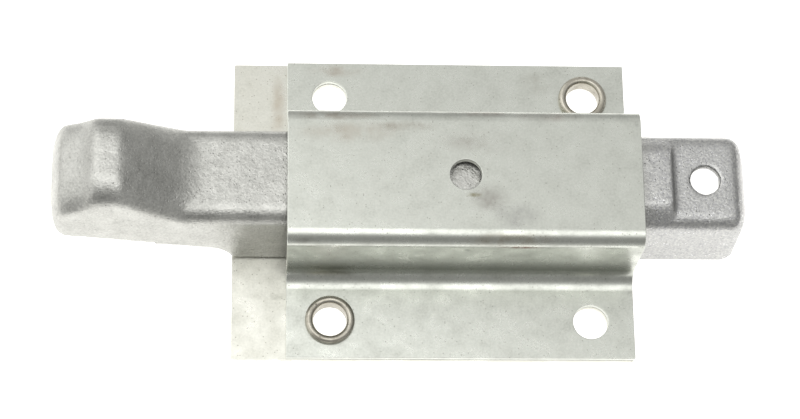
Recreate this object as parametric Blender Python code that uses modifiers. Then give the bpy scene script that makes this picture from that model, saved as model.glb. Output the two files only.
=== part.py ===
"""Gravity gate latch: a cast bolt that slides in a pressed-steel housing on a back plate.

The latch lies on its back. +X is the way the bolt drops, +Z points away from the gate, and the
origin is the middle of the four mounting holes, on the back plate's rear face.
"""

import math

import bmesh
import bpy

MM = 0.001
INCH = 0.0254

# Sheet metal
SHEET = 1.9 * MM  # 14 gauge
GAP = 0.3 * MM  # clearance left between pieces that touch
HOLE_PITCH_X = 3.0 * INCH
HOLE_PITCH_Y = 2.75 * INCH
HOLE_RADIUS = 5.15 * MM  # clears a 3/8 in bolt
SHEET_WIDTH = 3.625 * INCH
HOUSING_LENGTH = 4.0 * INCH
PLATE_OVERHANG = 0.625 * INCH  # how far the plate reaches past the housing, knob side
CHANNEL_WIDTH = 1.625 * INCH  # outside
CHANNEL_RISE = 1.125 * INCH  # flange face to top face
CROWN_BEND = 4.4 * MM  # outer radius along the top's edges
FOOT_BEND = 5.0 * MM  # radius in the corner between wall and flange
BEND_STEPS = 7
PEEP_RADIUS = 4.55 * MM  # round hole in the middle of the housing's top

# Heights
PLATE_FACE = SHEET
FLANGE_FACE = PLATE_FACE + GAP + SHEET
HOUSING_TOP = FLANGE_FACE + CHANNEL_RISE

# Eyelets
EYELET_BORE = 4.9 * MM
EYELET_BARREL = 5.95 * MM
EYELET_HEAD = 7.3 * MM
EYELET_HEAD_RISE = 1.7 * MM
EYELET_FOOT = 0.7 * MM  # thickness of the flange let into the back plate

# Stop stud
STUD_X = -0.75 * INCH
STUD_RADIUS = 4.76 * MM
STUD_TOP = 12.0 * MM
TENON_RADIUS = 3.175 * MM
PEEN_RADIUS = 4.2 * MM
PEEN_DEPTH = 1.0 * MM

# Bolt, all along X from the origin
TRAVEL = 1.25 * INCH
NOSE_END = 82.2 * MM
NOSE_STEP = (59.2 * MM, 60.7 * MM)  # from the body's top down to the nose's
SLOPE_FOOT = -78.5 * MM  # where the knob's slope meets the body
KNOB_FLAT = (-104.9 * MM, -97.6 * MM)
KNOB_CREASE = (-108.1 * MM, 38.2 * MM)
KNOB_END = -117.8 * MM
SOLE_END = -66.2 * MM  # the flat underside stops at the plate's edge
BOLT_BOTTOM = PLATE_FACE + GAP
BOLT_SIDE = 1.2 * MM  # the bolt has 2.2 mm of side play, and lies this far off the middle
BODY_TOP = 29.0 * MM
NOSE_TOP = 26.7 * MM
KNOB_TOP = 42.0 * MM
BODY_HALF_WIDTH = 16.5 * MM  # at the underside
DRAFT = math.radians(5.5)
NOSE_HOLE_X = 69.8 * MM
NOSE_HOLE_RADIUS = 4.3 * MM

# Edge radii of the bolt
NOSE_EDGE = 3.8 * MM
BLOCK_EDGE = 6.0 * MM
BODY_EDGE = 4.3 * MM
KNOB_EDGE = 5.2 * MM
NOSE_PLAN_RADIUS = 5.0 * MM
KNOB_PLAN_RADIUS = 4.4 * MM

# Hollows cast into the bolt's underside
WEB = 3.0 * MM  # metal over the front hollow
CORE_HALF_WIDTH = 13.4 * MM
CORE_TOP = 24.5 * MM
CORE_CORNER = 2.0 * MM
RIB = 4.0 * MM
FRONT_WALL = 4.0 * MM
REAR_CORE_START = -60.0 * MM

ROUND_SIDES = 32


def empty_scene():
    for thing in list(bpy.data.objects):
        bpy.data.objects.remove(thing, do_unlink=True)


def new_collection(name):
    collection = bpy.data.collections.new(name)
    bpy.context.scene.collection.children.link(collection)
    return collection


def new_material(name, colour, metallic, roughness):
    material = bpy.data.materials.new(name)
    material.use_nodes = True
    shader = material.node_tree.nodes["Principled BSDF"]
    shader.inputs["Base Color"].default_value = (*colour, 1.0)
    shader.inputs["Metallic"].default_value = metallic
    shader.inputs["Roughness"].default_value = roughness
    return material


def object_from_bmesh(name, mesh_builder, collection, location=(0, 0, 0)):
    mesh = bpy.data.meshes.new(name)
    mesh_builder.to_mesh(mesh)
    mesh_builder.free()
    piece = bpy.data.objects.new(name, mesh)
    piece.location = location
    collection.objects.link(piece)
    return piece


def make_cutter(name, mesh_builder, location=(0, 0, 0)):
    cutter = object_from_bmesh(name, mesh_builder, cutters, location)
    cutter.hide_render = True
    cutter.display_type = "WIRE"
    return cutter


def cut(piece, cutter):
    boolean = piece.modifiers.new(cutter.name, "BOOLEAN")
    boolean.operation = "DIFFERENCE"
    boolean.solver = "EXACT"
    boolean.object = cutter


def shade_round(piece, angle=35):
    piece.data.shade_smooth()
    piece.data.set_sharp_from_angle(angle=math.radians(angle))


def block(low, high):
    """A box between two corners."""
    builder = bmesh.new()
    bmesh.ops.create_cube(builder, size=1.0)
    for vertex in builder.verts:
        for axis in range(3):
            middle = (low[axis] + high[axis]) / 2
            vertex.co[axis] = middle + vertex.co[axis] * (high[axis] - low[axis])
    return builder


def drill(name, x, y, radius, bottom, top, mouth_radius=None):
    """A round cutter; with a mouth radius it is wider at the bottom, as a countersink."""
    builder = bmesh.new()
    bmesh.ops.create_cone(
        builder,
        cap_ends=True,
        segments=ROUND_SIDES,
        radius1=mouth_radius or radius,
        radius2=radius,
        depth=top - bottom,
    )
    return make_cutter(name, builder, (x, y, (bottom + top) / 2))


def turned(name, profile, x, y, material):
    """A piece turned about Z from (radius, height) points running down its outer side."""
    builder = bmesh.new()
    points = [builder.verts.new((radius, 0, height)) for radius, height in profile]
    for first, second in zip(points, points[1:]):
        builder.edges.new((first, second))
    if profile[0][0] > 0:
        builder.edges.new((points[-1], points[0]))
    piece = object_from_bmesh(name, builder, latch, (x, y, 0))
    screw = piece.modifiers.new("turn", "SCREW")
    screw.steps = ROUND_SIDES
    screw.render_steps = ROUND_SIDES
    screw.use_merge_vertices = True
    screw.merge_threshold = 0.00005
    screw.use_smooth_shade = True
    piece.data.materials.append(material)


def arc(centre, radius, start, end, steps):
    """Points on a circle, angles in degrees."""
    points = []
    for step in range(steps + 1):
        angle = math.radians(start + (end - start) * step / steps)
        across = centre[0] + radius * math.cos(angle)
        up = centre[1] + radius * math.sin(angle)
        points.append((across, up))
    return points


def corner_places():
    for side_x in (-1, 1):
        for side_y in (-1, 1):
            yield side_x, side_y, side_x * HOLE_PITCH_X / 2, side_y * HOLE_PITCH_Y / 2


def has_eyelet(side_x, side_y):
    return side_x == side_y


def make_back_plate(material):
    left = -HOUSING_LENGTH / 2 - PLATE_OVERHANG
    right = HOUSING_LENGTH / 2
    low = (left, -SHEET_WIDTH / 2, 0)
    high = (right, SHEET_WIDTH / 2, SHEET)
    plate = object_from_bmesh("back_plate", block(low, high), latch)
    plate.data.materials.append(material)
    for side_x, side_y, x, y in corner_places():
        label = f"plate_hole_{side_x}_{side_y}"
        radius = EYELET_BARREL + GAP if has_eyelet(side_x, side_y) else HOLE_RADIUS
        cut(plate, drill(label, x, y, radius, -MM, SHEET + MM))
        if has_eyelet(side_x, side_y):
            seat = drill(label + "_seat", x, y, EYELET_HEAD + GAP, -MM, EYELET_FOOT + GAP)
            cut(plate, seat)
    cut(plate, drill("stud_hole", STUD_X, 0, TENON_RADIUS + GAP, -MM, SHEET + MM))
    flare = (PEEN_RADIUS - TENON_RADIUS) / PEEN_DEPTH
    mouth = PEEN_RADIUS + GAP + flare * MM
    cut(plate, drill("stud_seat", STUD_X, 0, TENON_RADIUS + GAP, -MM, PEEN_DEPTH, mouth))


def housing_outline():
    """The outer face of the hat section, from the near flange's edge to the far one's."""
    wall = CHANNEL_WIDTH / 2
    foot_centre = (wall + FOOT_BEND, FLANGE_FACE + FOOT_BEND)
    crown_centre = (wall - CROWN_BEND, HOUSING_TOP - CROWN_BEND)
    half = [(SHEET_WIDTH / 2, FLANGE_FACE)]
    half += arc(foot_centre, FOOT_BEND, 270, 180, BEND_STEPS)
    half += arc(crown_centre, CROWN_BEND, 0, 90, BEND_STEPS)
    return [(-y, z) for y, z in half] + [(y, z) for y, z in reversed(half)]


def make_housing(material):
    builder = bmesh.new()
    half_length = HOUSING_LENGTH / 2
    outline = [builder.verts.new((-half_length, y, z)) for y, z in housing_outline()]
    edges = [builder.edges.new(pair) for pair in zip(outline, outline[1:])]
    swept = bmesh.ops.extrude_edge_only(builder, edges=edges)["geom"]
    moved = [item for item in swept if isinstance(item, bmesh.types.BMVert)]
    bmesh.ops.translate(builder, verts=moved, vec=(HOUSING_LENGTH, 0, 0))
    bmesh.ops.recalc_face_normals(builder, faces=builder.faces)
    top_face = max(builder.faces, key=lambda face: face.calc_center_median().z)
    if top_face.normal.z < 0:
        bmesh.ops.reverse_faces(builder, faces=builder.faces)
    housing = object_from_bmesh("housing", builder, latch)
    housing.data.materials.append(material)
    shade_round(housing)
    wall = housing.modifiers.new("sheet", "SOLIDIFY")
    wall.thickness = SHEET
    wall.offset = -1.0
    wall.use_even_offset = True
    for side_x, side_y, x, y in corner_places():
        radius = EYELET_BARREL + GAP if has_eyelet(side_x, side_y) else HOLE_RADIUS
        label = f"housing_hole_{side_x}_{side_y}"
        cut(housing, drill(label, x, y, radius, PLATE_FACE, FLANGE_FACE + MM))
    peep_bottom = HOUSING_TOP - SHEET - MM
    cut(housing, drill("peep_hole", 0, 0, PEEP_RADIUS, peep_bottom, HOUSING_TOP + MM))


def make_eyelet(name, x, y, material):
    """A tubular rivet: rolled bead on the housing, flat foot let into the back plate."""
    seat = FLANGE_FACE + GAP
    half_span = (EYELET_HEAD - EYELET_BORE) / 2
    bead_middle = (EYELET_BORE + half_span, seat + EYELET_HEAD_RISE / 3)
    rise = seat + EYELET_HEAD_RISE - bead_middle[1]
    crown = [
        (bead_middle[0] + half_span * math.cos(angle), bead_middle[1] + rise * math.sin(angle))
        for angle in (math.radians(180 - 180 * step / 10) for step in range(11))
    ]
    profile = crown + [
        (EYELET_HEAD, seat),
        (EYELET_BARREL, seat),
        (EYELET_BARREL, EYELET_FOOT),
        (EYELET_HEAD, EYELET_FOOT),
        (EYELET_HEAD, 0),
        (EYELET_BORE, 0),
    ]
    turned(name, profile, x, y, material)


def make_stop_stud(material):
    """A shouldered stud, riveted flush in the back plate, standing up into the bolt's hollow."""
    chamfer = 0.6 * MM
    profile = [
        (0, STUD_TOP),
        (STUD_RADIUS - chamfer, STUD_TOP),
        (STUD_RADIUS, STUD_TOP - chamfer),
        (STUD_RADIUS, PLATE_FACE + GAP),
        (TENON_RADIUS, PLATE_FACE + GAP),
        (TENON_RADIUS, PEEN_DEPTH),
        (PEEN_RADIUS, 0),
        (0, 0),
    ]
    turned("stop_stud", profile, STUD_X, 0, material)


def unit_towards(start, end):
    along, up = end[0] - start[0], end[1] - start[1]
    length = math.hypot(along, up)
    return along / length, up / length


def filleted(corners, steps=5):
    """A polyline through (along, up, radius) corners, each turned on its own radius."""
    points = []
    for index, (along, up, radius) in enumerate(corners):
        if radius == 0:
            points.append((along, up))
            continue
        back = unit_towards((along, up), corners[index - 1])
        on = unit_towards((along, up), corners[index + 1])
        half = math.acos(back[0] * on[0] + back[1] * on[1]) / 2
        inward = unit_towards((0, 0), (back[0] + on[0], back[1] + on[1]))
        reach = radius / math.sin(half)
        centre = (along + inward[0] * reach, up + inward[1] * reach)
        tangent = radius / math.tan(half)
        bearings = [
            math.atan2(up + way[1] * tangent - centre[1], along + way[0] * tangent - centre[0])
            for way in (back, on)
        ]
        sweep = (bearings[1] - bearings[0] + math.pi) % (2 * math.pi) - math.pi
        start = math.degrees(bearings[0])
        points += arc(centre, radius, start, start + math.degrees(sweep), steps)
    return points


def height_at(outline, x):
    """Where an outline that runs one way along X crosses x."""
    for (x0, z0), (x1, z1) in zip(outline, outline[1:]):
        low, high = min(x0, x1), max(x0, x1)
        if low <= x <= high and high > low:
            return z0 + (z1 - z0) * (x - x0) / (x1 - x0)
    nearest = min(outline, key=lambda point: abs(point[0] - x))
    return nearest[1]


def bolt_top_outline():
    """Knob end, sloping end face, flat knob, hollow slope, body, step and nose."""
    return filleted([
        (KNOB_END, 27.0 * MM, 0),
        (KNOB_END + 2.2 * MM, 33.4 * MM, 2.5 * MM),
        (*KNOB_CREASE, 1.0 * MM),
        (KNOB_FLAT[0], KNOB_TOP, 2.2 * MM),
        (KNOB_FLAT[1], KNOB_TOP, 3.0 * MM),
        (SLOPE_FOOT, BODY_TOP, 10.0 * MM),
        (NOSE_STEP[0], BODY_TOP, 0.8 * MM),
        (NOSE_STEP[1], NOSE_TOP, 0.8 * MM),
        (NOSE_END - 0.6 * MM, NOSE_TOP, 2.4 * MM),
        (NOSE_END, 22.0 * MM, 0),
    ])


def bolt_bottom_outline():
    """The knob's rising underside, the step at the plate's edge, and the flat sole."""
    return filleted([
        (KNOB_END, 18.6 * MM, 0),
        (KNOB_END + 1.5 * MM, 16.5 * MM, 1.2 * MM),
        (SOLE_END - 4.2 * MM, 8.0 * MM, 2.5 * MM),
        (SOLE_END, BOLT_BOTTOM, 2.5 * MM),
        (NOSE_END - 1.2 * MM, BOLT_BOTTOM, 1.2 * MM),
        (NOSE_END, 4.2 * MM, 0),
    ])


def plan_inset(x):
    """How far the sides draw in where the bolt's corners are rounded in plan."""
    for end, radius, way in (
        (NOSE_END, NOSE_PLAN_RADIUS, 1),
        (KNOB_END, KNOB_PLAN_RADIUS, -1),
    ):
        into = (x - end) * way + radius
        if into > 0:
            return radius - math.sqrt(max(radius**2 - into**2, 0))
    return 0


def edge_radius(x):
    """The rounding along the top edges, which grows towards the nose."""
    marks = [
        (KNOB_END, 2.5 * MM),
        (KNOB_END + 6 * MM, KNOB_EDGE),
        (-90 * MM, KNOB_EDGE),
        (SLOPE_FOOT, BODY_EDGE),
        (-45 * MM, BODY_EDGE),
        (45 * MM, BLOCK_EDGE),
        (NOSE_STEP[0], BLOCK_EDGE),
        (NOSE_STEP[1], NOSE_EDGE),
        (NOSE_END - 3 * MM, NOSE_EDGE),
        (NOSE_END, 2.5 * MM),
    ]
    return height_at(marks, x)


def stations(top, bottom):
    """Where the bolt's sections stand: at every turn of its outlines and plan corners."""
    places = {KNOB_END, NOSE_END, -45 * MM, 45 * MM}
    for outline in (top, bottom):
        places.update(x for x, _ in outline)
    for end, radius, way in (
        (NOSE_END, NOSE_PLAN_RADIUS, 1),
        (KNOB_END, KNOB_PLAN_RADIUS, -1),
    ):
        for step in range(7):
            angle = math.radians(90 * step / 6)
            places.add(end - way * (radius - radius * math.sin(angle)))
    spaced = []
    for x in sorted(places):
        if not spaced or x - spaced[-1] > 0.25 * MM:
            spaced.append(x)
    spaced[-1] = NOSE_END
    return spaced


def bolt_section(x, top, bottom):
    """One closed ring across the bolt: drafted sides and round top edges."""
    high, low = height_at(top, x), height_at(bottom, x)
    half_width = BODY_HALF_WIDTH - plan_inset(x)
    radius = edge_radius(x)
    centre_z = high - radius
    base = half_width - (low - BOLT_BOTTOM) * math.tan(DRAFT)
    side_at_centre = half_width - (centre_z - BOLT_BOTTOM) * math.tan(DRAFT)
    centre_y = side_at_centre - radius / math.cos(DRAFT)
    near = [(base, low)]
    near += arc((centre_y, centre_z), radius, math.degrees(DRAFT), 90, 7)
    ring = near + [(-y, z) for y, z in reversed(near)]
    return [(x, y, z) for y, z in ring]


def make_bolt_casting():
    top, bottom = bolt_top_outline(), bolt_bottom_outline()
    builder = bmesh.new()
    rings = []
    for x in stations(top, bottom):
        rings.append([builder.verts.new(point) for point in bolt_section(x, top, bottom)])
    for back, front in zip(rings, rings[1:]):
        count = len(back)
        for index in range(count):
            after = (index + 1) % count
            builder.faces.new((back[index], back[after], front[after], front[index]))
    builder.faces.new(rings[0])
    builder.faces.new(rings[-1])
    bmesh.ops.recalc_face_normals(builder, faces=builder.faces)
    return builder


def core(name, start, end, top):
    """A hollow open at the underside, its sides leaning in with the draft."""
    mouth = BOLT_BOTTOM - 2 * MM
    builder = block((start, -CORE_HALF_WIDTH, mouth), (end, CORE_HALF_WIDTH, top))
    lean = (top - mouth) * math.tan(DRAFT) / CORE_HALF_WIDTH
    middle = (mouth + top) / 2
    for vertex in builder.verts:
        if vertex.co.z > middle:
            vertex.co.y *= 1 - lean
    upright = [
        edge
        for edge in builder.edges
        if (edge.verts[0].co.z > middle) != (edge.verts[1].co.z > middle)
    ]
    bmesh.ops.bevel(
        builder, geom=upright, offset=CORE_CORNER, segments=3, affect="EDGES", profile=0.5
    )
    return make_cutter(name, builder, (0, BOLT_SIDE, 0))


def make_bolt(material):
    slide_height = (BOLT_BOTTOM + BODY_TOP) / 2
    axis = bpy.data.objects.new("bolt_slide_axis", None)
    axis.location = (0, BOLT_SIDE, slide_height)
    latch.objects.link(axis)
    builder = make_bolt_casting()
    bmesh.ops.translate(builder, verts=builder.verts, vec=(0, 0, -slide_height))
    bolt = object_from_bmesh("bolt", builder, latch)
    bolt.parent = axis
    bolt.data.materials.append(material)
    shade_round(bolt)
    stop_rear = STUD_X - STUD_RADIUS - GAP
    stop_front = STUD_X + TRAVEL + STUD_RADIUS + GAP
    front_end = NOSE_END - FRONT_WALL
    cut(bolt, core("rear_hollow", REAR_CORE_START, stop_rear - RIB, CORE_TOP))
    cut(bolt, core("stop_hollow", stop_rear, stop_front, CORE_TOP))
    cut(bolt, core("front_hollow", stop_front + RIB, front_end, NOSE_TOP - WEB))
    low, high = NOSE_TOP - WEB - MM, NOSE_TOP + MM
    cut(bolt, drill("nose_hole", NOSE_HOLE_X, BOLT_SIDE, NOSE_HOLE_RADIUS, low, high))


empty_scene()
latch = new_collection("gravity_gate_latch")
cutters = new_collection("cutters")

housing_zinc = new_material("housing_zinc", (0.60, 0.61, 0.56), 0.9, 0.42)
plate_zinc = new_material("plate_zinc", (0.62, 0.61, 0.55), 0.9, 0.48)
eyelet_steel = new_material("eyelet_steel", (0.42, 0.40, 0.36), 0.9, 0.40)
stud_steel = new_material("stud_steel", (0.38, 0.38, 0.38), 0.9, 0.45)
cast_aluminium = new_material("cast_aluminium", (0.52, 0.52, 0.51), 0.8, 0.55)

make_back_plate(plate_zinc)
make_housing(housing_zinc)
make_eyelet("eyelet_upper_right", HOLE_PITCH_X / 2, HOLE_PITCH_Y / 2, eyelet_steel)
make_eyelet("eyelet_lower_left", -HOLE_PITCH_X / 2, -HOLE_PITCH_Y / 2, eyelet_steel)
make_stop_stud(stud_steel)
make_bolt(cast_aluminium)
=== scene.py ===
import math

import bmesh
import bpy
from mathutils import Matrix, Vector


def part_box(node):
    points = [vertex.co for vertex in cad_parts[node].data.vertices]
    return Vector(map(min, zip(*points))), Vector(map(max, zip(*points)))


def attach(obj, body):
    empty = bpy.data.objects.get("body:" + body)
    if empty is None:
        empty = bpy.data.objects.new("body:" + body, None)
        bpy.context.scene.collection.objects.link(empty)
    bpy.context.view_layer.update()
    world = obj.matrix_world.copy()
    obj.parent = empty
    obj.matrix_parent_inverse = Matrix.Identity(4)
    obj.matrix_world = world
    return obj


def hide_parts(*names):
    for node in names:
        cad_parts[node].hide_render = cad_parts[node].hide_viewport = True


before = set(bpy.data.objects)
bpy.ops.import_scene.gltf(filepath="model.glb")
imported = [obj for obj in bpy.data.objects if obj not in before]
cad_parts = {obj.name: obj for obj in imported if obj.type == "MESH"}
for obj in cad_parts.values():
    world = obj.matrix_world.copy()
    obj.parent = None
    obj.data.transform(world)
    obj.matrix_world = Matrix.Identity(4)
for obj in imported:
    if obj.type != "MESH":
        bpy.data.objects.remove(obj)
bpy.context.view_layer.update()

mm = 0.001
nearly = 0.02 * mm  # how close a vertex must lie to a plane to count as on it
sharpAngle = math.radians(40)  # an edge sharper than this is broken
smoothAngle = math.radians(38)

# short names for the operators that every piece uses


def addShape(kind, name, scale=(1, 1, 1), **settings):
    bpy.ops.object.select_all(action="DESELECT")
    getattr(bpy.ops.mesh, "primitive_" + kind + "_add")(**settings)
    piece = bpy.context.active_object
    piece.name = piece.data.name = name
    piece.scale = scale
    bpy.ops.object.transform_apply(location=True, rotation=True, scale=True)
    return piece


def startEdit(piece):
    bpy.ops.object.select_all(action="DESELECT")
    piece.select_set(True)
    bpy.context.view_layer.objects.active = piece
    bpy.ops.object.mode_set(mode="EDIT")


def endEdit():
    bpy.ops.object.mode_set(mode="OBJECT")


def pick(piece, kind, test):  # leaves only the parts that pass the test selected
    bpy.ops.mesh.select_mode(type=kind)
    bpy.ops.mesh.select_all(action="DESELECT")
    mesh = bmesh.from_edit_mesh(piece.data)
    for part in {"VERT": mesh.verts, "EDGE": mesh.edges, "FACE": mesh.faces}[kind]:
        if test(part):
            part.select_set(True)
    bmesh.update_edit_mesh(piece.data)


def allAt(part, axis, place):
    return all(abs(vertex.co[axis] - place) < nearly for vertex in part.verts)


def pull(x, y, z):  # extrudes the selection and moves it
    bpy.ops.mesh.extrude_region_move(TRANSFORM_OT_translate={"value": (x, y, z)})


def stretch(x, y, z, about):
    bpy.ops.transform.resize(value=(x, y, z), center_override=about)


def modify(piece, kind, **settings):
    bpy.context.view_layer.objects.active = piece
    step = piece.modifiers.new(kind.lower(), kind)
    for setting, value in settings.items():
        setattr(step, setting, value)
    bpy.ops.object.modifier_apply(modifier=step.name)


def combine(piece, tool, operation="DIFFERENCE"):
    modify(piece, "BOOLEAN", operation=operation, solver="EXACT", object=tool)
    bpy.data.objects.remove(tool)


def drill(piece, x, y, radius, bottom, top, mouth=None):
    bit = addShape(
        "cone", "drillBit", vertices=72, radius1=mouth or radius, radius2=radius,
        depth=top - bottom, location=(x, y, (bottom + top) / 2),
    )
    combine(piece, bit)


def breakEdges(piece, width):  # takes the sharpness off, and keeps the flats flat
    modify(
        piece, "BEVEL", width=width, segments=3, limit_method="ANGLE",
        angle_limit=sharpAngle, harden_normals=False,
    )
    bpy.ops.object.select_all(action="DESELECT")
    piece.select_set(True)
    bpy.context.view_layer.objects.active = piece
    bpy.ops.object.shade_smooth_by_angle(angle=smoothAngle)
    modify(piece, "WEIGHTED_NORMAL", keep_sharp=True, weight=80)


def settle(piece, material, body, node):
    piece.data.materials.clear()
    piece.data.materials.append(material)
    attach(piece, body)
    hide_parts(node)


# shader groups shared by the finishes, and the values inside them

effects = {
    "cloudSpan": (0.32, 0.68),  # the part of a noise's range that is stretched over 0 to 1
    "grainSpan": (0.3, 0.7),
    "stainSpan": (0.36, 0.64),
    "speckDot": (0.18, 0.34),  # reach of a dot in its cell: full inside the first, gone past the second
    "pitDot": (0.12, 0.38),
    "facetOver": 0.84,  # cells whose random tone is over this are bright facets
    "clumps": 0.28,  # scale of the grain's clumps, as a share of the grain's own
    "grainHeight": 0.6,
    "clumpHeight": 0.5,
    "pitDrop": 0.35,
    "rubSpan": (1.0, 0.86),  # how like the rounded normal is to the real one: no rub, full rub
    "ragScale": 700.0,
    "ragMiddle": 0.4,
    "stainRim": (0.15, 1.0),
}


def newGroup(name, inputs, outputs):
    tree = bpy.data.node_groups.new(name, "ShaderNodeTree")
    for label, kind, value in inputs:
        socket = tree.interface.new_socket(label, in_out="INPUT", socket_type="NodeSocket" + kind)
        if value is not None:
            socket.default_value = value
    for label, kind in outputs:
        tree.interface.new_socket(label, in_out="OUTPUT", socket_type="NodeSocket" + kind)
    return tree, addNode(tree, "NodeGroupInput"), addNode(tree, "NodeGroupOutput")


def addNode(tree, kind, **settings):
    made = tree.nodes.new(kind)
    for setting, value in settings.items():
        setattr(made, setting, value)
    return made


def feed(tree, node, **values):  # a socket by name takes a number, a colour or another node's output
    for label, value in values.items():
        named = [socket for socket in node.inputs if socket.name.replace(" ", "").lower() == label.lower()]
        matches = [socket for socket in named if socket.enabled]
        put(tree, matches[0], value)


def put(tree, socket, value):
    if isinstance(value, bpy.types.NodeSocket):
        tree.links.new(value, socket)
    else:
        socket.default_value = value


def math2(tree, operation, first, second=0.0, clamp=False):
    node = addNode(tree, "ShaderNodeMath", operation=operation, use_clamp=clamp)
    put(tree, node.inputs[0], first)
    put(tree, node.inputs[1], second)
    return node.outputs[0]


def remap(tree, value, fromLow, fromHigh, toLow=0.0, toHigh=1.0, smooth=False):
    node = addNode(tree, "ShaderNodeMapRange", interpolation_type="SMOOTHSTEP" if smooth else "LINEAR")
    for socket, number in zip(node.inputs, (value, fromLow, fromHigh, toLow, toHigh)):
        put(tree, socket, number)
    return node.outputs[0]


def noise(tree, vector, scale, detail=2.0, roughness=0.5):
    node = addNode(tree, "ShaderNodeTexNoise")
    feed(tree, node, vector=vector, scale=scale, detail=detail, roughness=roughness)
    return node.outputs["Fac"]


def blendColour(tree, mask, under, over):
    node = addNode(tree, "ShaderNodeMix", data_type="RGBA")
    feed(tree, node, factor=mask, a=under, b=over)
    return node.outputs[2]


def rgb(red, green, blue):
    return (red, green, blue, 1.0)


def makeMottleGroup():  # plating: slow clouds, fine fleck and sparse dark specks
    tree, given, result = newGroup(
        "platingMottle",
        [("Vector", "Vector", None), ("Cloud Scale", "Float", 60.0), ("Fleck Scale", "Float", 900.0),
         ("Speck Scale", "Float", 420.0), ("Speck Share", "Float", 0.12)],
        [("Cloud", "Float"), ("Fleck", "Float"), ("Speck", "Float"), ("Height", "Float")],
    )
    where = given.outputs["Vector"]
    cloud = noise(tree, where, given.outputs["Cloud Scale"], 5.0, 0.62)
    fleck = noise(tree, where, given.outputs["Fleck Scale"], 3.0, 0.7)
    cells = addNode(tree, "ShaderNodeTexVoronoi")
    feed(tree, cells, vector=where, scale=given.outputs["Speck Scale"])
    chosen = addNode(tree, "ShaderNodeSeparateColor")
    put(tree, chosen.inputs[0], cells.outputs["Color"])
    kept = math2(tree, "LESS_THAN", chosen.outputs[0], given.outputs["Speck Share"])
    dot = remap(tree, cells.outputs["Distance"], *effects["speckDot"], 1.0, 0.0)
    speck = math2(tree, "MULTIPLY", kept, dot, clamp=True)
    height = math2(tree, "ADD", math2(tree, "MULTIPLY", fleck, 0.5), math2(tree, "MULTIPLY", cloud, 0.5))
    put(tree, result.inputs["Cloud"], remap(tree, cloud, *effects["cloudSpan"]))
    put(tree, result.inputs["Fleck"], remap(tree, fleck, *effects["grainSpan"]))
    put(tree, result.inputs["Speck"], speck)
    put(tree, result.inputs["Height"], height)
    return tree


def makeGrainGroup():  # as-cast skin: rounded grain, small pits and a scatter of bright facets
    tree, given, result = newGroup(
        "castGrain",
        [("Vector", "Vector", None), ("Grain Scale", "Float", 900.0), ("Pit Scale", "Float", 500.0),
         ("Pit Share", "Float", 0.1)],
        [("Height", "Float"), ("Grain", "Float"), ("Pit", "Float"), ("Facet", "Float")],
    )
    where = given.outputs["Vector"]
    grain = noise(tree, where, given.outputs["Grain Scale"], 3.0, 0.65)
    clumpScale = math2(tree, "MULTIPLY", given.outputs["Grain Scale"], effects["clumps"])
    clumps = noise(tree, where, clumpScale, 2.0)
    cells = addNode(tree, "ShaderNodeTexVoronoi")
    feed(tree, cells, vector=where, scale=given.outputs["Pit Scale"])
    tone = addNode(tree, "ShaderNodeSeparateColor")
    put(tree, tone.inputs[0], cells.outputs["Color"])
    inside = remap(tree, cells.outputs["Distance"], *effects["pitDot"], 1.0, 0.0)
    pitted = math2(tree, "LESS_THAN", tone.outputs[0], given.outputs["Pit Share"])
    pit = math2(tree, "MULTIPLY", pitted, inside)
    faceted = math2(tree, "GREATER_THAN", tone.outputs[1], effects["facetOver"])
    facet = math2(tree, "MULTIPLY", faceted, inside)
    fine = math2(tree, "MULTIPLY", grain, effects["grainHeight"])
    rolling = math2(tree, "MULTIPLY", clumps, effects["clumpHeight"])
    sunk = math2(tree, "MULTIPLY", pit, effects["pitDrop"])
    relief = math2(tree, "SUBTRACT", math2(tree, "ADD", fine, rolling), sunk)
    put(tree, result.inputs["Height"], relief)
    put(tree, result.inputs["Grain"], remap(tree, grain, *effects["grainSpan"]))
    put(tree, result.inputs["Pit"], pit)
    put(tree, result.inputs["Facet"], facet)
    return tree


def makeEdgeGroup():  # where handling has rubbed the edges, with a ragged border
    tree, given, result = newGroup(
        "edgeRub",
        [("Vector", "Vector", None), ("Reach", "Float", 0.0006), ("Raggedness", "Float", 0.5)],
        [("Mask", "Float")],
    )
    rounded = addNode(tree, "ShaderNodeBevel", samples=4)
    put(tree, rounded.inputs["Radius"], given.outputs["Reach"])
    surface = addNode(tree, "ShaderNodeNewGeometry")
    likeness = addNode(tree, "ShaderNodeVectorMath", operation="DOT_PRODUCT")
    put(tree, likeness.inputs[0], rounded.outputs[0])
    put(tree, likeness.inputs[1], surface.outputs["Normal"])
    bend = remap(tree, likeness.outputs["Value"], *effects["rubSpan"])
    ragged = noise(tree, given.outputs["Vector"], effects["ragScale"], 3.0)
    ragged = math2(tree, "SUBTRACT", ragged, effects["ragMiddle"])
    held = math2(tree, "MULTIPLY", ragged, given.outputs["Raggedness"])
    put(tree, result.inputs["Mask"], math2(tree, "SUBTRACT", bend, held, clamp=True))
    return tree


def makeStainGroup():  # one soft-edged patch; a Mapping node in front of it gives its place and size
    tree, given, result = newGroup(
        "softStain",
        [("Vector", "Vector", None), ("Place", "Vector", None), ("Break Scale", "Float", 160.0),
         ("Strength", "Float", 0.5)],
        [("Mask", "Float")],
    )
    reach = addNode(tree, "ShaderNodeVectorMath", operation="LENGTH")
    put(tree, reach.inputs[0], given.outputs["Place"])
    patch = remap(tree, reach.outputs["Value"], *effects["stainRim"], 1.0, 0.0, smooth=True)
    cloud = noise(tree, given.outputs["Vector"], given.outputs["Break Scale"], 5.0, 0.65)
    broken = math2(tree, "MULTIPLY", patch, remap(tree, cloud, *effects["stainSpan"]))
    mask = math2(tree, "MULTIPLY", broken, given.outputs["Strength"], clamp=True)
    put(tree, result.inputs["Mask"], mask)
    return tree


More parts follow.
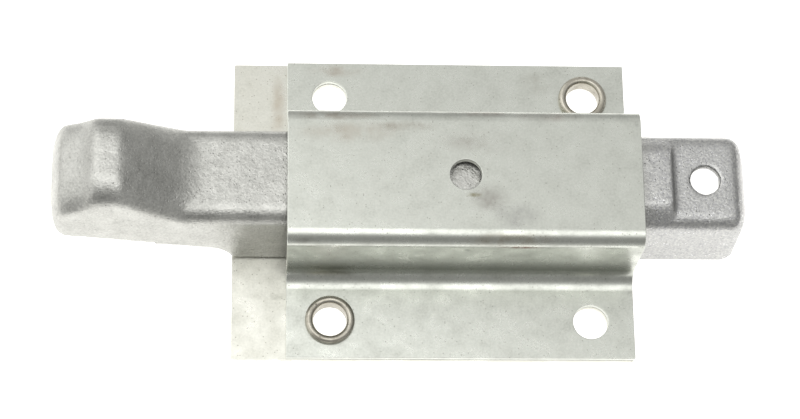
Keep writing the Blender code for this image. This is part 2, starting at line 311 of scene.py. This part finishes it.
groups = {
    "mottle": makeMottleGroup(),
    "grain": makeGrainGroup(),
    "edge": makeEdgeGroup(),
    "stain": makeStainGroup(),
}


def useGroup(tree, name, **values):
    node = addNode(tree, "ShaderNodeGroup", node_tree=groups[name])
    feed(tree, node, **values)
    return node


def startMaterial(name):
    material = bpy.data.materials.new(name)
    material.use_nodes = True
    tree = material.node_tree
    where = addNode(tree, "ShaderNodeTexCoord").outputs["Object"]
    return material, tree, tree.nodes["Principled BSDF"], where


def layStains(tree, where, colour, stains):
    for centre, size, tint, strength in stains:
        spot = addNode(tree, "ShaderNodeMapping", vector_type="TEXTURE")
        feed(tree, spot, vector=where, location=[c * mm for c in centre], scale=[s * mm for s in size])
        patch = useGroup(tree, "stain", vector=where, place=spot.outputs[0], strength=strength)
        colour = blendColour(tree, patch.outputs["Mask"], colour, rgb(*tint))
    return colour


def platedSteel(name, look):
    material, tree, shader, where = startMaterial(name)
    mottle = useGroup(
        tree, "mottle", vector=where, cloudScale=look["cloudScale"], fleckScale=look["fleckScale"],
        speckScale=look["speckScale"], speckShare=look["speckShare"],
    )
    colour = blendColour(tree, mottle.outputs["Cloud"], rgb(*look["dark"]), rgb(*look["light"]))
    fleck = math2(tree, "MULTIPLY", mottle.outputs["Fleck"], look["fleckDepth"])
    colour = blendColour(tree, fleck, colour, rgb(*look["fleck"]))
    colour = layStains(tree, where, colour, look["stains"])
    speck = math2(tree, "MULTIPLY", mottle.outputs["Speck"], look["speckDepth"])
    colour = blendColour(tree, speck, colour, rgb(*look["speck"]))
    rub = useGroup(tree, "edge", vector=where, reach=look["rubReach"]).outputs["Mask"]
    colour = blendColour(tree, math2(tree, "MULTIPLY", rub, look["rubDepth"]), colour, rgb(*look["rub"]))
    rough = remap(tree, mottle.outputs["Cloud"], 0.0, 1.0, look["roughness"][1], look["roughness"][0])
    duller = math2(tree, "MULTIPLY", mottle.outputs["Speck"], look["speckDulling"])
    rough = math2(tree, "ADD", rough, duller, clamp=True)
    bump = addNode(tree, "ShaderNodeBump")
    feed(tree, bump, strength=look["bump"], distance=look["bumpDistance"], height=mottle.outputs["Height"])
    feed(tree, shader, baseColor=colour, roughness=rough, normal=bump.outputs[0])
    shader.inputs["Metallic"].default_value = look["metallic"]
    return material


def castMetal(name, look):
    material, tree, shader, where = startMaterial(name)
    grain = useGroup(
        tree, "grain", vector=where, grainScale=look["grainScale"], pitScale=look["pitScale"],
        pitShare=look["pitShare"],
    )
    cloud = useGroup(tree, "mottle", vector=where, cloudScale=look["cloudScale"]).outputs["Cloud"]
    colour = blendColour(tree, cloud, rgb(*look["dark"]), rgb(*look["light"]))
    along = addNode(tree, "ShaderNodeSeparateXYZ")
    put(tree, along.inputs[0], where)
    coarse = remap(tree, along.outputs["X"], *look["coarseFrom"], smooth=True)  # the nose froze coarser
    cooler = math2(tree, "MULTIPLY", coarse, look["coarseDepth"])
    colour = blendColour(tree, cooler, colour, rgb(*look["coarse"]))
    shown = remap(tree, coarse, 0.0, 1.0, look["grainDepth"], look["coarseGrainDepth"])
    grainy = math2(tree, "MULTIPLY", grain.outputs["Grain"], shown)
    colour = blendColour(tree, grainy, colour, rgb(*look["grain"]))
    deeper = remap(tree, coarse, 0.0, 1.0, look["pitDepth"], look["coarsePitDepth"])
    pitted = math2(tree, "MULTIPLY", grain.outputs["Pit"], deeper)
    colour = blendColour(tree, pitted, colour, rgb(*look["pit"]))
    glinting = math2(tree, "MULTIPLY", coarse, look["glintDepth"])
    glint = math2(tree, "MULTIPLY", grain.outputs["Facet"], glinting)
    colour = blendColour(tree, glint, colour, rgb(*look["glint"]))
    rub = useGroup(tree, "edge", vector=where, reach=look["rubReach"]).outputs["Mask"]
    colour = blendColour(tree, math2(tree, "MULTIPLY", rub, look["rubDepth"]), colour, rgb(*look["rub"]))
    rough = remap(tree, grain.outputs["Facet"], 0.0, 1.0, look["roughness"][1], look["roughness"][0])
    bump = addNode(tree, "ShaderNodeBump")
    feed(tree, bump, strength=look["bump"], distance=look["bumpDistance"], height=grain.outputs["Height"])
    feed(tree, shader, baseColor=colour, roughness=rough, normal=bump.outputs[0])
    shader.inputs["Metallic"].default_value = look["metallic"]
    return material


# housing: pressed hat section

housing = {
    "sheet": 1.9 * mm,
    "channelWidth": 41.275 * mm,  # outside
    "crownBend": 4.4 * mm,
    "footBend": 5.0 * mm,
    "bendSteps": 14,
    "peepRadius": 4.55 * mm,
    "brokenEdge": 0.22 * mm,
}
holes = {
    "pitchX": 76.2 * mm,
    "pitchY": 69.85 * mm,
    "plain": 5.15 * mm,
    "forEyelet": 6.25 * mm,
}
housingLook = {
    "light": (0.62, 0.64, 0.585), "dark": (0.44, 0.455, 0.41),
    "cloudScale": 150.0, "fleck": (0.74, 0.75, 0.70), "fleckScale": 1500.0, "fleckDepth": 0.45,
    "speck": (0.22, 0.21, 0.18), "speckScale": 1500.0, "speckShare": 0.07, "speckDepth": 0.55,
    "rub": (0.78, 0.79, 0.76), "rubReach": 0.5 * mm, "rubDepth": 0.5,
    "roughness": (0.24, 0.36), "speckDulling": 0.2, "bump": 0.07, "bumpDistance": 0.4 * mm, "metallic": 1.0,
    "stains": [  # centre and size in millimetres, colour, strength
        ((-38, 17.8, 31), (18, 2.2, 4), (0.34, 0.30, 0.25), 1.0),
        ((-33, 12.5, 33), (20, 4.5, 4), (0.46, 0.43, 0.37), 0.8),
        ((-17, 14.5, 33), (11, 2.4, 4), (0.34, 0.31, 0.26), 0.8),
        ((6, 19, 32), (9, 2.2, 5), (0.36, 0.33, 0.29), 0.8),
        ((24, 18, 32), (14, 2.4, 4), (0.44, 0.41, 0.37), 0.8),
        ((4, 10, 33), (15, 5, 4), (0.42, 0.41, 0.37), 0.7),
        ((6.5, -7, 33), (8, 5.5, 4), (0.35, 0.34, 0.31), 1.0),
        ((14, -12.5, 33), (9, 5.5, 4), (0.36, 0.36, 0.34), 0.9),
        ((2, -6.2, 33), (3.2, 0.9, 3), (0.24, 0.22, 0.13), 1.0),
        ((12, -18.8, 31), (18, 2.6, 3), (0.36, 0.31, 0.22), 0.8),
        ((15, -20.5, 28.8), (9, 1.2, 1.0), (0.22, 0.10, 0.07), 1.0),
        ((-46, -19, 30), (5, 1.6, 2.2), (0.18, 0.16, 0.13), 0.9),
        ((0.8, -20.7, 26.5), (1.6, 1, 1.4), (0.10, 0.10, 0.09), 1.0),
        ((-36, 43.5, 4), (11, 2.6, 3), (0.42, 0.38, 0.32), 0.8),
        ((25, 40, 4), (8, 5, 3), (0.42, 0.42, 0.37), 0.7),
        ((-8, 27, 4), (14, 4, 3), (0.46, 0.43, 0.40), 0.6),
        ((49.6, 15.8, 32), (0.9, 1.6, 1.6), (0.08, 0.08, 0.09), 1.0),
    ],
}


def corners():  # place and radius of each mounting hole, and whether an eyelet stands in it
    for sideX in (-1, 1):
        for sideY in (-1, 1):
            radius = holes["forEyelet"] if sideX == sideY else holes["plain"]
            yield sideX * holes["pitchX"] / 2, sideY * holes["pitchY"] / 2, radius, sideX == sideY


def makeHousing():
    low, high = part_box("housing")
    wall = housing["channelWidth"] / 2
    flangeFace = low.z + housing["sheet"]
    piece = addShape(
        "plane", "housingShell", size=1, location=(0, 0, high.z),
        scale=(high.x - low.x, 2 * wall, 1),
    )
    startEdit(piece)
    for side in (-1, 1):
        pick(piece, "EDGE", lambda edge: allAt(edge, 1, side * wall))
        pull(0, 0, flangeFace - high.z)
        pull(0, side * (high.y - wall), 0)
    for height, radius in ((high.z, housing["crownBend"]), (flangeFace, housing["footBend"])):
        for side in (-1, 1):
            pick(piece, "EDGE", lambda edge: allAt(edge, 2, height) and allAt(edge, 1, side * wall))
            bpy.ops.mesh.bevel(offset=radius, segments=housing["bendSteps"], affect="EDGES")
    endEdit()
    modify(piece, "SOLIDIFY", thickness=housing["sheet"], offset=-1.0, use_even_offset=True)
    for x, y, radius, _ in corners():
        drill(piece, x, y, radius, low.z - mm, flangeFace + mm)
    drill(piece, 0, 0, housing["peepRadius"], high.z - 2 * housing["sheet"], high.z + mm)
    breakEdges(piece, housing["brokenEdge"])
    settle(piece, platedSteel("housingZinc", housingLook), "frame", "housing")


makeHousing()
print("housing made")

# back plate, and the holes and recesses in it

plate = {
    "shearedCorner": 0.6 * mm,
    "brokenEdge": 0.25 * mm,
    "eyeletSeat": (7.6 * mm, 1.0 * mm),  # radius and depth of the recess for an eyelet's foot
    "studHole": 3.475 * mm,
    "studMouth": 4.5 * mm,
    "studMouthDepth": 1.0 * mm,
    "studCut": 0.02 * mm,  # how far the mouth's cut starts behind the plate
    "studX": -19.05 * mm,
}
plateLook = {
    "light": (0.68, 0.68, 0.62), "dark": (0.53, 0.53, 0.47),
    "cloudScale": 170.0, "fleck": (0.78, 0.77, 0.70), "fleckScale": 1500.0, "fleckDepth": 0.5,
    "speck": (0.26, 0.24, 0.19), "speckScale": 1500.0, "speckShare": 0.09, "speckDepth": 0.6,
    "rub": (0.76, 0.77, 0.74), "rubReach": 0.5 * mm, "rubDepth": 0.5,
    "roughness": (0.25, 0.38), "speckDulling": 0.2, "bump": 0.09, "bumpDistance": 0.4 * mm, "metallic": 1.0,
    "stains": [
        ((-53.5, 32, 2), (3, 14, 4), (0.46, 0.41, 0.33), 0.7),
        ((-55, -27, 2), (8, 1.7, 4), (0.33, 0.33, 0.28), 0.9),
        ((-64, 22, 2), (4, 5, 4), (0.44, 0.42, 0.33), 0.8),
    ],
}


def makePlate():
    low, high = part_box("back_plate")
    middle = (low + high) / 2
    piece = addShape("cube", "rearPlate", size=1, location=middle, scale=high - low)
    startEdit(piece)
    pick(piece, "EDGE", lambda edge: abs(edge.verts[0].co.z - edge.verts[1].co.z) > high.z / 2)
    bpy.ops.mesh.bevel(offset=plate["shearedCorner"], segments=4, affect="EDGES")
    endEdit()
    for x, y, radius, eyelet in corners():
        drill(piece, x, y, radius, low.z - mm, high.z + mm)
        if eyelet:
            drill(piece, x, y, plate["eyeletSeat"][0], low.z - mm, plate["eyeletSeat"][1])
    drill(piece, plate["studX"], 0, plate["studHole"], low.z - mm, high.z + mm)
    drill(
        piece, plate["studX"], 0, plate["studHole"], low.z - plate["studCut"], plate["studMouthDepth"],
        mouth=plate["studMouth"],
    )
    breakEdges(piece, plate["brokenEdge"])
    settle(piece, platedSteel("plateZinc", plateLook), "frame", "back_plate")


makePlate()
print("back plate made")

# eyelets: a drawn tube, its top edge rolled outwards and its foot flared

eyelet = {
    "wall": 0.9 * mm,
    "midRadius": 5.35 * mm,
    "rollRadius": 0.7 * mm,
    "rollMiddle": 4.93 * mm,  # height of the roll's own centre
    "rollSteps": 12,
    "rollTurn": 235.0,
    "footRadius": 0.6 * mm,
    "footEdge": 7.2 * mm,
    "footHeight": 0.47 * mm,
    "footSteps": 6,
    "sides": 96,
    "unevenness": 0.07 * mm,
    "wave": 5 * mm,  # size of the unevenness
    "brokenEdge": 0.18 * mm,
    "sharpAngle": math.radians(50),
}
eyeletLook = {
    "light": (0.45, 0.43, 0.37), "dark": (0.29, 0.27, 0.22),
    "cloudScale": 260.0, "fleck": (0.60, 0.57, 0.50), "fleckScale": 1300.0, "fleckDepth": 0.35,
    "speck": (0.14, 0.12, 0.10), "speckScale": 900.0, "speckShare": 0.1, "speckDepth": 0.6,
    "rub": (0.72, 0.70, 0.64), "rubReach": 0.4 * mm, "rubDepth": 0.35,
    "roughness": (0.24, 0.38), "speckDulling": 0.2, "bump": 0.25, "bumpDistance": 0.3 * mm, "metallic": 1.0,
    "stains": [],
}


def rollLoop(centre, points):  # extrudes the selected rim through (radius, height) points
    radius, height = points[0]
    for nextRadius, nextHeight in points[1:]:
        pull(0, 0, nextHeight - height)
        grow = nextRadius / radius
        stretch(grow, grow, 1, centre)
        radius, height = nextRadius, nextHeight


def turnPoints(centreRadius, centreHeight, radius, start, turn, steps):
    places = []
    for step in range(steps + 1):
        angle = math.radians(start + turn * step / steps)
        places.append((centreRadius + radius * math.cos(angle), centreHeight + radius * math.sin(angle)))
    return places


def makeEyelet(name, node, material):
    low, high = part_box(node)
    x, y = (low.x + high.x) / 2, (low.y + high.y) / 2
    e = eyelet
    top = e["rollMiddle"]
    bottom = e["footHeight"] + e["footRadius"]
    piece = addShape(
        "cylinder", name, vertices=e["sides"], radius=e["midRadius"], depth=top - bottom,
        end_fill_type="NOTHING", location=(x, y, (top + bottom) / 2),
    )
    rollAt = e["midRadius"] + e["rollRadius"]
    flareAt = e["midRadius"] + e["footRadius"]
    lip = turnPoints(rollAt, top, e["rollRadius"], 180, -e["rollTurn"], e["rollSteps"])
    foot = turnPoints(flareAt, bottom, e["footRadius"], 180, 90, e["footSteps"])
    foot.append((e["footEdge"], e["footHeight"]))
    startEdit(piece)
    for height, route in ((top, lip), (bottom, foot)):
        pick(piece, "EDGE", lambda edge: allAt(edge, 2, height))
        rollLoop((x, y, height), route)
    bpy.ops.mesh.select_all(action="SELECT")
    bpy.ops.mesh.normals_make_consistent(inside=False)
    endEdit()
    modify(piece, "SOLIDIFY", thickness=e["wall"], offset=0.0, use_even_offset=True)
    uneven = bpy.data.textures.new(name + "Uneven", "CLOUDS")
    uneven.noise_scale = e["wave"]
    modify(
        piece, "DISPLACE", texture=uneven, texture_coords="LOCAL", strength=e["unevenness"], mid_level=0.5
    )
    modify(
        piece, "BEVEL", width=e["brokenEdge"], segments=2, limit_method="ANGLE",
        angle_limit=e["sharpAngle"],
    )
    bpy.ops.object.shade_smooth_by_angle(angle=e["sharpAngle"])
    settle(piece, material, "frame", node)


eyeletSteel = platedSteel("eyeletSteel", eyeletLook)
makeEyelet("eyeletUpperRight", "eyelet_upper_right", eyeletSteel)
makeEyelet("eyeletLowerLeft", "eyelet_lower_left", eyeletSteel)
print("eyelets made")

# stop stud: shouldered, its tenon hammered over behind the plate

stud = {
    "radius": 4.76 * mm,
    "shoulder": 2.2 * mm,
    "tenon": 3.175 * mm,
    "peenDepth": 1.0 * mm,
    "peen": 4.15 * mm,
    "dome": 0.12 * mm,
    "chamfer": 0.6 * mm,
    "domeSteps": (0.7 * mm, 0.9 * mm),
    "brokenEdge": 0.12 * mm,
}
studLook = {
    "light": (0.46, 0.45, 0.43), "dark": (0.34, 0.33, 0.31),
    "cloudScale": 240.0, "fleck": (0.55, 0.54, 0.52), "fleckScale": 1200.0, "fleckDepth": 0.35,
    "speck": (0.14, 0.13, 0.12), "speckScale": 700.0, "speckShare": 0.1, "speckDepth": 0.5,
    "rub": (0.66, 0.65, 0.62), "rubReach": 0.4 * mm, "rubDepth": 0.4,
    "roughness": (0.32, 0.46), "speckDulling": 0.2, "bump": 0.3, "bumpDistance": 0.3 * mm, "metallic": 1.0,
    "stains": [],
}


def makeStud():
    low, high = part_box("stop_stud")
    x, y = (low.x + high.x) / 2, 0
    piece = addShape(
        "cylinder", "stopStud", vertices=64, radius=stud["radius"], depth=high.z - stud["shoulder"],
        location=(x, y, (high.z + stud["shoulder"]) / 2),
    )
    startEdit(piece)
    pick(piece, "EDGE", lambda edge: allAt(edge, 2, high.z))
    bpy.ops.mesh.bevel(offset=stud["chamfer"], segments=4, affect="EDGES")
    pick(piece, "FACE", lambda face: allAt(face, 2, stud["shoulder"]))
    bpy.ops.mesh.inset(thickness=stud["radius"] - stud["tenon"])
    pull(0, 0, stud["peenDepth"] - stud["shoulder"])
    pull(0, 0, stud["dome"] + low.z - stud["peenDepth"])
    spread = stud["peen"] / stud["tenon"]
    stretch(spread, spread, 1, (x, y, stud["dome"]))
    for reach in stud["domeSteps"]:
        bpy.ops.mesh.inset(thickness=reach)
        bpy.ops.transform.translate(value=(0, 0, -stud["dome"] / 2))
    endEdit()
    breakEdges(piece, stud["brokenEdge"])
    settle(piece, platedSteel("studSteel", studLook), "frame", "stop_stud")


makeStud()
print("stop stud made")

# bolt: one casting, built up from a bar, a raised block and the finger knob

bolt = {
    "middleY": 1.2 * mm,
    "halfWidth": 16.5 * mm,  # at the sole
    "draft": math.radians(5.5),
    "sole": 2.2 * mm,
    # three lengths, each outlined from the side by (along, up) points; outlines, pitch, easing
    # and hollows are in plain millimetres
    "bar": {
        "top": [(-84, 29), (-24, 29), (-20, 26.7), (78.7, 26.7), (81.6, 24.2), (82.2, 20.5)],
        "bottom": [(-84, 10.9), (-70.4, 8), (-66.2, 2.2), (81.0, 2.2), (82.2, 4.2)],
        "corner": (4.3 * mm, 0.5),  # radius and roundness along the top
        "planRadii": (0, 5.0 * mm),  # upright corners at its two ends
        "pitch": 1.5,
        "easing": (1.0, 70, 1.5),  # how softly the top bends, up to a place and past it
    },
    "block": {
        "top": [(-20, 29), (60.1, 29), (60.7, 26)],
        "bottom": [(-20, 2.2), (60.7, 2.2)],
        "corner": (6.2 * mm, 0.36),
        "planRadii": (0, 0),
        "pitch": 0.8,
        "easing": (0.4, 0, 0.4),
    },
    "knob": {
        "top": [
            (-117.8, 27), (-115.6, 33.4), (-108.1, 38.2), (-104.9, 42), (-97.6, 42), (-78.5, 29),
            (-70, 29),
        ],
        "bottom": [(-117.8, 18.6), (-116.3, 16.5), (-70, 8.1)],
        "corner": (6.0 * mm, 0.5),
        "planRadii": (4.4 * mm, 0),
        "pitch": 0.8,
        "easing": (1.2, -91, 4.5),
    },
    "soleEasing": 1.0,
    "cornerSteps": 10,
    "soleBand": 0.2 * mm,  # points higher than this over the sole move with the top
    "hollows": [(-60, -28.11, 24.5), (-24.11, 17.76, 24.5), (21.76, 78.2, 23.7)],  # from, to, top
    "hollowHalfWidth": 13.4 * mm,
    "hollowCorner": 2.0 * mm,
    "hollowMouth": 0.2 * mm,  # height the cutter starts from, clear below the sole
    "noseHole": (69.8 * mm, 4.3 * mm),  # along, radius
    "noseHoleSpan": (21.7 * mm, 28.7 * mm),  # the drill runs from inside the hollow to above the nose
    "skinPitch": 0.72 * mm,
    "skinWave": 0.10 * mm,
    "waveSize": 2.2 * mm,
}


def heightAt(outline, x):
    for (x0, z0), (x1, z1) in zip(outline, outline[1:]):
        if x0 <= x <= x1:
            return z0 + (z1 - z0) * (x - x0) / (x1 - x0)
    return outline[-1][1] if x > outline[-1][0] else outline[0][1]


def softHeight(outline, x, reach):  # the outline with its corners eased over a reach
    room = min(reach, x - outline[0][0], outline[-1][0] - x)
    shifts = [room * step / 4 for step in range(-4, 5)]
    return sum(heightAt(outline, x + shift) for shift in shifts) / len(shifts)


def halfWidthAt(z):
    return bolt["halfWidth"] - (z - bolt["sole"]) * math.tan(bolt["draft"])


def planInset(x, end, radius, way):  # how far a corner rounded in plan draws the side in
    into = (x - end) * way * mm + radius
    return radius - math.sqrt(max(radius**2 - into**2, 0)) if into > 0 else 0


def castLength(name, length):
    # a section with round top corners, extruded along X and moved to the outlines at each step
    start, end = length["top"][0][0], length["top"][-1][0]
    steps = round((end - start) / length["pitch"])
    places = [start + (end - start) * step / steps for step in range(steps + 1)]
    y = bolt["middleY"]
    radius, roundness = length["corner"]
    startRadius, endRadius = length["planRadii"]
    before, changeOver, after = length["easing"]

    def rims(x):  # the top and the sole there, each as (height, half width)
        inset = planInset(x, start, startRadius, -1) + planInset(x, end, endRadius, 1)
        top = softHeight(length["top"], x, after if x > changeOver else before) * mm
        sole = softHeight(length["bottom"], x, bolt["soleEasing"]) * mm
        return (top, halfWidthAt(top) - inset), (sole, halfWidthAt(sole) - inset)

    (top, topHalf), (sole, soleHalf) = rims(start)
    piece = addShape(
        "plane", name, size=1, rotation=(0, math.pi / 2, 0), scale=(top - sole, 2 * soleHalf, 1),
        location=(start * mm, y, (top + sole) / 2),
    )
    startEdit(piece)
    pick(piece, "VERT", lambda vertex: abs(vertex.co.z - top) < nearly)
    stretch(1, topHalf / soleHalf, 1, (start * mm, y, top))
    bpy.ops.mesh.bevel(
        offset=radius, offset_type="OFFSET", segments=bolt["cornerSteps"], profile=roundness,
        affect="VERTICES",
    )
    old = rims(start)
    for last, place in zip(places, places[1:]):
        pick(piece, "FACE", lambda face: allAt(face, 0, last * mm))
        pull((place - last) * mm, 0, 0)
        new = rims(place)
        line = old[1][0] + bolt["soleBand"]
        for above, (z, half), (newZ, newHalf) in ((True, old[0], new[0]), (False, old[1], new[1])):
            pick(
                piece, "VERT",
                lambda vertex: abs(vertex.co.x - place * mm) < nearly and (vertex.co.z > line) == above,
            )
            bpy.ops.transform.translate(value=(0, 0, newZ - z))
            stretch(1, newHalf / half, 1, (place * mm, y, newZ))
        old = new
    bpy.ops.mesh.select_all(action="SELECT")
    bpy.ops.mesh.normals_make_consistent(inside=False)
    endEdit()
    return piece


def makeHollow(start, end, top):  # open at the sole, its sides leaning in with the draft
    mouth = bolt["hollowMouth"]
    roof = top * mm
    half = bolt["hollowHalfWidth"]
    piece = addShape(
        "cube", "hollow", size=1, scale=((end - start) * mm, 2 * half, roof - mouth),
        location=((start + end) / 2 * mm, bolt["middleY"], (mouth + roof) / 2),
    )
    startEdit(piece)
    pick(piece, "VERT", lambda vertex: vertex.co.z > mouth + mm)
    lean = 1 - (roof - mouth) * math.tan(bolt["draft"]) / half
    stretch(1, lean, 1, (0, bolt["middleY"], roof))
    pick(piece, "EDGE", lambda edge: max(vertex.co.z for vertex in edge.verts) > mouth + mm)
    bpy.ops.mesh.bevel(offset=bolt["hollowCorner"], segments=4, affect="EDGES")
    endEdit()
    return piece


def makeBolt():
    bar = castLength("slidingBolt", bolt["bar"])
    for part in ("block", "knob"):
        combine(bar, castLength(part, bolt[part]), "UNION")
    for start, end, top in bolt["hollows"]:
        combine(bar, makeHollow(start, end, top))
    holeX, holeRadius = bolt["noseHole"]
    drill(bar, holeX, bolt["middleY"], holeRadius, *bolt["noseHoleSpan"])
    modify(bar, "REMESH", mode="VOXEL", voxel_size=bolt["skinPitch"], adaptivity=0.0)
    modify(bar, "SMOOTH", factor=0.5, iterations=4)
    wave = bpy.data.textures.new("castWave", "CLOUDS")
    wave.noise_scale = bolt["waveSize"]
    wave.noise_depth = 2
    modify(
        bar, "DISPLACE", texture=wave, texture_coords="LOCAL", strength=bolt["skinWave"], mid_level=0.5
    )
    bpy.ops.object.select_all(action="DESELECT")
    bar.select_set(True)
    bpy.context.view_layer.objects.active = bar
    bpy.ops.object.shade_smooth()
    return bar


castLook = {
    "light": (0.48, 0.48, 0.455), "dark": (0.33, 0.33, 0.31), "cloudScale": 150.0,
    "grain": (0.70, 0.70, 0.66), "grainScale": 1500.0, "grainDepth": 0.55,
    "pit": (0.18, 0.18, 0.17), "pitScale": 1350.0, "pitShare": 0.18, "pitDepth": 0.36,
    "coarseFrom": (48 * mm, 56 * mm),  # along the bolt, where the nose's coarser skin sets in
    "coarse": (0.31, 0.31, 0.34), "coarseDepth": 0.65, "coarseGrainDepth": 0.77, "coarsePitDepth": 0.72,
    "glint": (0.95, 0.95, 0.98), "glintDepth": 0.55,
    "rub": (0.72, 0.72, 0.69), "rubReach": 0.8 * mm, "rubDepth": 0.25,
    "roughness": (0.20, 0.36), "bump": 0.6, "bumpDistance": 0.4 * mm, "metallic": 1.0,
}
settle(makeBolt(), castMetal("castAluminium", castLook), "slider", "bolt")
print("bolt made")

# floor, light and camera

studio = {
    "floorSize": 6.0,
    "floorColour": (0.58, 0.58, 0.575),
    "floorRoughness": 0.9,
    "floorDrop": 0.2 * mm,
    "poolLight": 1.10,  # glow of the floor itself: a painted pool of light that the latch lies in
    "poolNear": (-110 * mm, -67 * mm),  # along Y, where the pool is gone and where it is full
    "poolFar": (105 * mm, 73 * mm),
    "poolSide": (300 * mm, 160 * mm),  # the same by the distance from the middle
    "poolColour": (1, 0.99, 0.97),
    "tentColour": (1.0, 1.0, 0.99),
    "tentLight": 0.82,  # where no patch reaches
    "patches": [  # direction, cosines where a patch starts and is full, share of light it takes away
        ((-0.15, -0.95, 0.26), 0.62, 0.90, 0.57),
        ((0.93, 0.36, 0.05), 0.62, 0.92, 0.52),
        ((0.85, -0.45, 0.25), 0.70, 0.95, 0.45),
        ((-0.84, 0.34, 0.42), 0.62, 0.96, -0.75),  # this one adds light
        ((0.0, 0.99, 0.05), 0.80, 0.97, 0.30),
    ],
    "softboxPlace": (-0.202, 0.014, 1.0),
    "softboxSize": (1.3, 0.6),
    "softboxPower": 3.0,
    "softboxTurn": math.radians(-35),
    "lens": 104.878,
    "sensor": 36,
    "cameraPlace": (-0.05613797, -0.23127319, 0.65166004),
    "cameraTurn": (19.6127, -3.1982, -0.6560),  # degrees
}


def makeFloor():
    floor = addShape("plane", "floor", size=studio["floorSize"], location=(0, 0, -studio["floorDrop"]))
    material, tree, shader, where = startMaterial("whiteTableWithPaintedPool")
    split = addNode(tree, "ShaderNodeSeparateXYZ")
    put(tree, split.inputs[0], where)
    # the floor itself glows: a painted pool of light under and around the latch, fading out past the pool's
    # edges
    near = remap(tree, split.outputs["Y"], *studio["poolNear"], smooth=True)
    far = remap(tree, split.outputs["Y"], *studio["poolFar"], smooth=True)
    reach = addNode(tree, "ShaderNodeVectorMath", operation="LENGTH")
    put(tree, reach.inputs[0], where)
    side = remap(tree, reach.outputs["Value"], *studio["poolSide"], smooth=True)
    pool = math2(tree, "MULTIPLY", math2(tree, "MULTIPLY", near, far), side)
    shader.inputs["Base Color"].default_value = rgb(*studio["floorColour"])
    shader.inputs["Roughness"].default_value = studio["floorRoughness"]
    shader.inputs["Emission Strength"].default_value = studio["poolLight"]
    glow = blendColour(tree, pool, rgb(0, 0, 0), rgb(*studio["poolColour"]))
    put(tree, shader.inputs["Emission Color"], glow)
    floor.data.materials.append(material)


def makeWorld():  # a white tent with dimmer patches low down, and a brighter one past the knob
    world = bpy.data.worlds.new("tent")
    bpy.context.scene.world = world
    world.use_nodes = True
    tree = world.node_tree
    way = addNode(tree, "ShaderNodeTexCoord").outputs["Generated"]
    light = studio["tentLight"]
    for direction, start, full, depth in studio["patches"]:
        facing = addNode(tree, "ShaderNodeVectorMath", operation="DOT_PRODUCT")
        put(tree, facing.inputs[0], way)
        facing.inputs[1].default_value = direction
        shade = remap(tree, facing.outputs["Value"], start, full, 1.0, 1.0 - depth, smooth=True)
        light = math2(tree, "MULTIPLY", light, shade)
    background = tree.nodes["Background"]
    put(tree, background.inputs["Strength"], light)
    background.inputs["Color"].default_value = rgb(*studio["tentColour"])


def makeSoftbox():
    lamp = bpy.data.lights.new("softbox", "AREA")
    lamp.shape = "RECTANGLE"
    lamp.size, lamp.size_y = studio["softboxSize"]
    lamp.energy = studio["softboxPower"]
    holder = bpy.data.objects.new("softbox", lamp)
    holder.location = studio["softboxPlace"]
    holder.rotation_euler[2] = studio["softboxTurn"]
    holder.visible_camera = False
    bpy.context.scene.collection.objects.link(holder)


def makeCamera():
    lens = bpy.data.cameras.new("camera")
    lens.lens = studio["lens"]
    lens.sensor_width = studio["sensor"]
    holder = bpy.data.objects.new("camera", lens)
    holder.location = studio["cameraPlace"]
    holder.rotation_euler = [math.radians(angle) for angle in studio["cameraTurn"]]
    bpy.context.scene.collection.objects.link(holder)
    bpy.context.scene.camera = holder


makeFloor()
makeWorld()
makeSoftbox()
makeCamera()
bpy.context.scene.view_settings.view_transform = "Standard"
print("studio ready")
